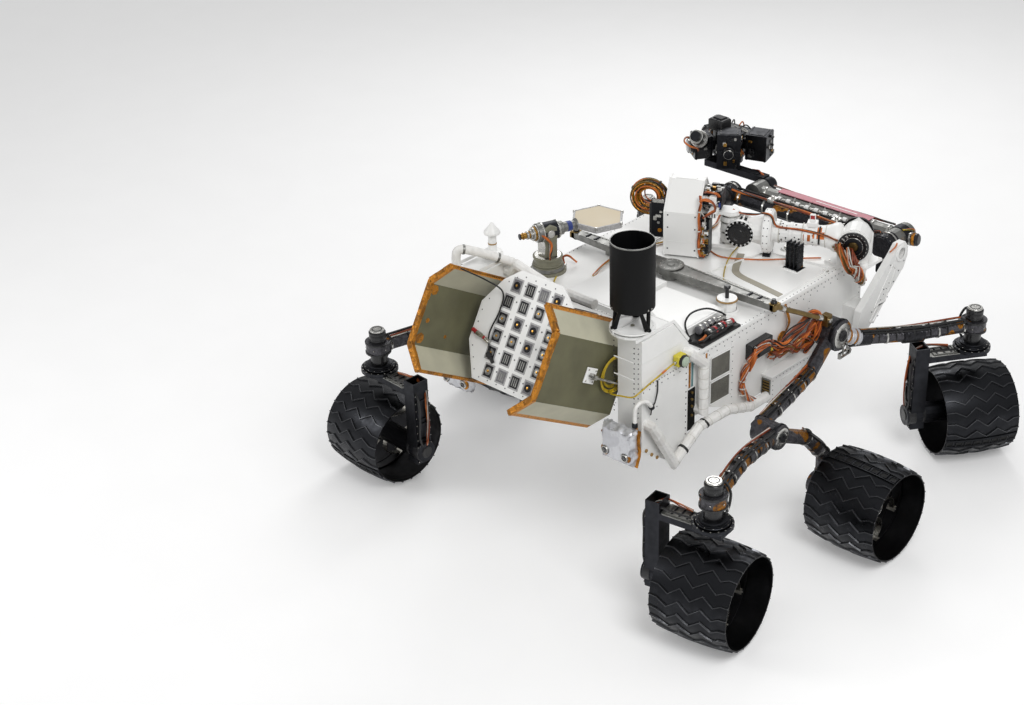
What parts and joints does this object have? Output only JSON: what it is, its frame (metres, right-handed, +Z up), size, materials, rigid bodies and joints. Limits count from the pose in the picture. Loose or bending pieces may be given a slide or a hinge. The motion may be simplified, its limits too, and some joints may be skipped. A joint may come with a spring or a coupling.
{
  "type": "planetary rover",
  "caption": "Mars rover on rocker-bogie legs with steered drive wheels, a folded camera mast, a stowed jointed arm, a hexagonal dish and a tilted rear power unit.",
  "frame": {"origin": "on the ground, below the middle of the rover", "axes": "+X forward, towards the stowed arm; +Y left; +Z up"},
  "size_m": [3.1224, 2.854, 1.785],
  "materials": {
    "tyre_black": "black anodised aluminium, matt",
    "strut_grey": "machined, satin",
    "tube_grey": "grey film wrapped, satin",
    "motor_black": "black, satin",
    "white_paint": "white thermal paint, matt",
    "deck_white": "white thermal paint, matt",
    "grey_panel": "grey riveted plate, satin",
    "olive_panel": "olive green, satin",
    "generator_grey": "grey, matt",
    "bare_alloy": "bare, satin",
    "antenna_black": "black, matt",
    "insulation_white": "white wrapped insulation",
    "blanket_silver": "silver coated blanket",
    "switch_yellow": "yellow plastic",
    "cable_yellow": "yellow cable sheath",
    "connector_black": "black plastic",
    "lens_black": "dark lens",
    "harness_orange": "amber film wrapped wires",
    "arm_grey": "dark grey, satin",
    "dish_cream": "cream antenna face, matt"
  },
  "bodies": {
    "chassis": {"hga_base": "strut_grey", "rockers": "tube_grey", "bogies": "tube_grey", "steering_motors": "motor_black", "rear_boxes": "white_paint", "body_box": "white_paint", "side_boxes": "white_paint", "end_plate": "white_paint", "mast_base": "white_paint", "low_gain_antenna": "white_paint", "deck": "deck_white", "deck_covers": "deck_white", "differential_bar": "grey_panel", "mast_rest": "grey_panel", "elbow_rest": "grey_panel", "heat_exchangers": "olive_panel", "generator": "generator_grey", "unit_frame": "bare_alloy", "exchanger_brackets": "bare_alloy", "differential_links": "bare_alloy", "arm_base": "bare_alloy", "uhf_antenna": "antenna_black", "coolant_pipes": "insulation_white", "insulation_bags": "blanket_silver", "stop_switch": "switch_yellow", "switch_cable": "cable_yellow", "connector_tray": "connector_black", "hazard_cameras": "lens_black"},
    "steer_lf": {"wheel_strut_lf": "strut_grey"},
    "wheel_lf": {"wheel_lf": "tyre_black"},
    "steer_rf": {"wheel_strut_rf": "strut_grey"},
    "wheel_rf": {"wheel_rf": "tyre_black"},
    "steer_lr": {"wheel_strut_lr": "strut_grey"},
    "wheel_lr": {"wheel_lr": "tyre_black"},
    "steer_rr": {"wheel_strut_rr": "strut_grey"},
    "wheel_rr": {"wheel_rr": "tyre_black"},
    "wheel_lm": {"wheel_lm": "tyre_black"},
    "wheel_rm": {"wheel_rm": "tyre_black"},
    "mast": {"mast_tube": "white_paint"},
    "mast_head": {"mast_head": "white_paint", "mast_cameras": "lens_black", "head_electronics": "connector_black", "head_harness": "harness_orange"},
    "arm_turntable": {"arm_turntable": "arm_grey"},
    "upper_arm": {"upper_arm": "arm_grey"},
    "forearm": {"forearm": "arm_grey"},
    "wrist": {"wrist": "bare_alloy"},
    "turret": {"turret_hub": "arm_grey", "drill": "arm_grey", "sample_box": "arm_grey", "spectrometer": "arm_grey", "brush_tool": "arm_grey", "hand_lens_camera": "lens_black"},
    "hga_turntable": {"hga_turntable": "strut_grey"},
    "hga_dish": {"hga_dish": "dish_cream"}
  },
  "joints": [
    {"name": "steer_lf", "type": "hinge", "parent": "chassis", "child": "steer_lf", "pos_m": [1.102, 1.106, 0.6], "axis": [0, 0, 1], "range_deg": [-145, 45]},
    {"name": "steer_rf", "type": "hinge", "parent": "chassis", "child": "steer_rf", "pos_m": [1.102, -1.106, 0.6], "axis": [0, 0, 1], "range_deg": [-150, 40]},
    {"name": "steer_lr", "type": "hinge", "parent": "chassis", "child": "steer_lr", "pos_m": [-1.092, 1.106, 0.6], "axis": [0, 0, 1], "range_deg": [-92, 98]},
    {"name": "steer_rr", "type": "hinge", "parent": "chassis", "child": "steer_rr", "pos_m": [-1.092, -1.106, 0.6], "axis": [0, 0, 1], "range_deg": [-104, 86]},
    {"name": "spin_lf", "type": "hinge", "parent": "steer_lf", "child": "wheel_lf", "pos_m": [1.102, 1.106, 0.25], "axis": [-0.766, 0.6428, 0], "continuous": true},
    {"name": "spin_rf", "type": "hinge", "parent": "steer_rf", "child": "wheel_rf", "pos_m": [1.102, -1.106, 0.25], "axis": [-0.8191, 0.5736, 0], "continuous": true},
    {"name": "spin_lr", "type": "hinge", "parent": "steer_lr", "child": "wheel_lr", "pos_m": [-1.092, 1.106, 0.25], "axis": [0.0523, 0.9986, 0], "continuous": true},
    {"name": "spin_rr", "type": "hinge", "parent": "steer_rr", "child": "wheel_rr", "pos_m": [-1.092, -1.106, 0.25], "axis": [-0.1564, 0.9877, 0], "continuous": true},
    {"name": "spin_lm", "type": "hinge", "parent": "chassis", "child": "wheel_lm", "pos_m": [-0.028, 1.227, 0.25], "axis": [0, 1, 0], "continuous": true},
    {"name": "spin_rm", "type": "hinge", "parent": "chassis", "child": "wheel_rm", "pos_m": [-0.028, -1.227, 0.25], "axis": [0, 1, 0], "continuous": true},
    {"name": "mast_raise", "type": "hinge", "parent": "chassis", "child": "mast", "pos_m": [0.7, -0.61, 1.238], "axis": [0.8934, 0.4493, 0], "range_deg": [0, 90]},
    {"name": "head_turn", "type": "hinge", "parent": "mast", "child": "mast_head", "pos_m": [0.40794, -0.02931, 1.238], "axis": [0, 0, 1], "range_deg": [-87, 91]},
    {"name": "arm_azimuth", "type": "hinge", "parent": "chassis", "child": "arm_turntable", "pos_m": [0.93, 0.42, 0.9], "axis": [0, 0, 1], "range_deg": [0, 110]},
    {"name": "arm_elevation", "type": "hinge", "parent": "arm_turntable", "child": "upper_arm", "pos_m": [0.985, 0.42, 1.1], "axis": [-1, 0, 0], "range_deg": [0, 90]},
    {"name": "arm_elbow", "type": "hinge", "parent": "upper_arm", "child": "forearm", "pos_m": [1.036, -0.61, 1.1], "axis": [1, 0, 0], "range_deg": [0, 180]},
    {"name": "arm_wrist", "type": "hinge", "parent": "forearm", "child": "wrist", "pos_m": [1.18, 0.33, 1.1], "axis": [1, 0, 0], "range_deg": [-90, 90]},
    {"name": "turret_turn", "type": "hinge", "parent": "wrist", "child": "turret", "pos_m": [1.335, 0.69, 1.16], "axis": [0, 0, 1], "range_deg": [-175, 175]},
    {"name": "hga_azimuth", "type": "hinge", "parent": "chassis", "child": "hga_turntable", "pos_m": [-0.385, 0.54, 1.15], "axis": [0, 0, 1], "range_deg": [-60, 120]},
    {"name": "hga_elevation", "type": "hinge", "parent": "hga_turntable", "child": "hga_dish", "pos_m": [-0.385, 0.54, 1.33], "axis": [0.9304, -0.3665, 0], "range_deg": [-90, 90]}
  ]
}
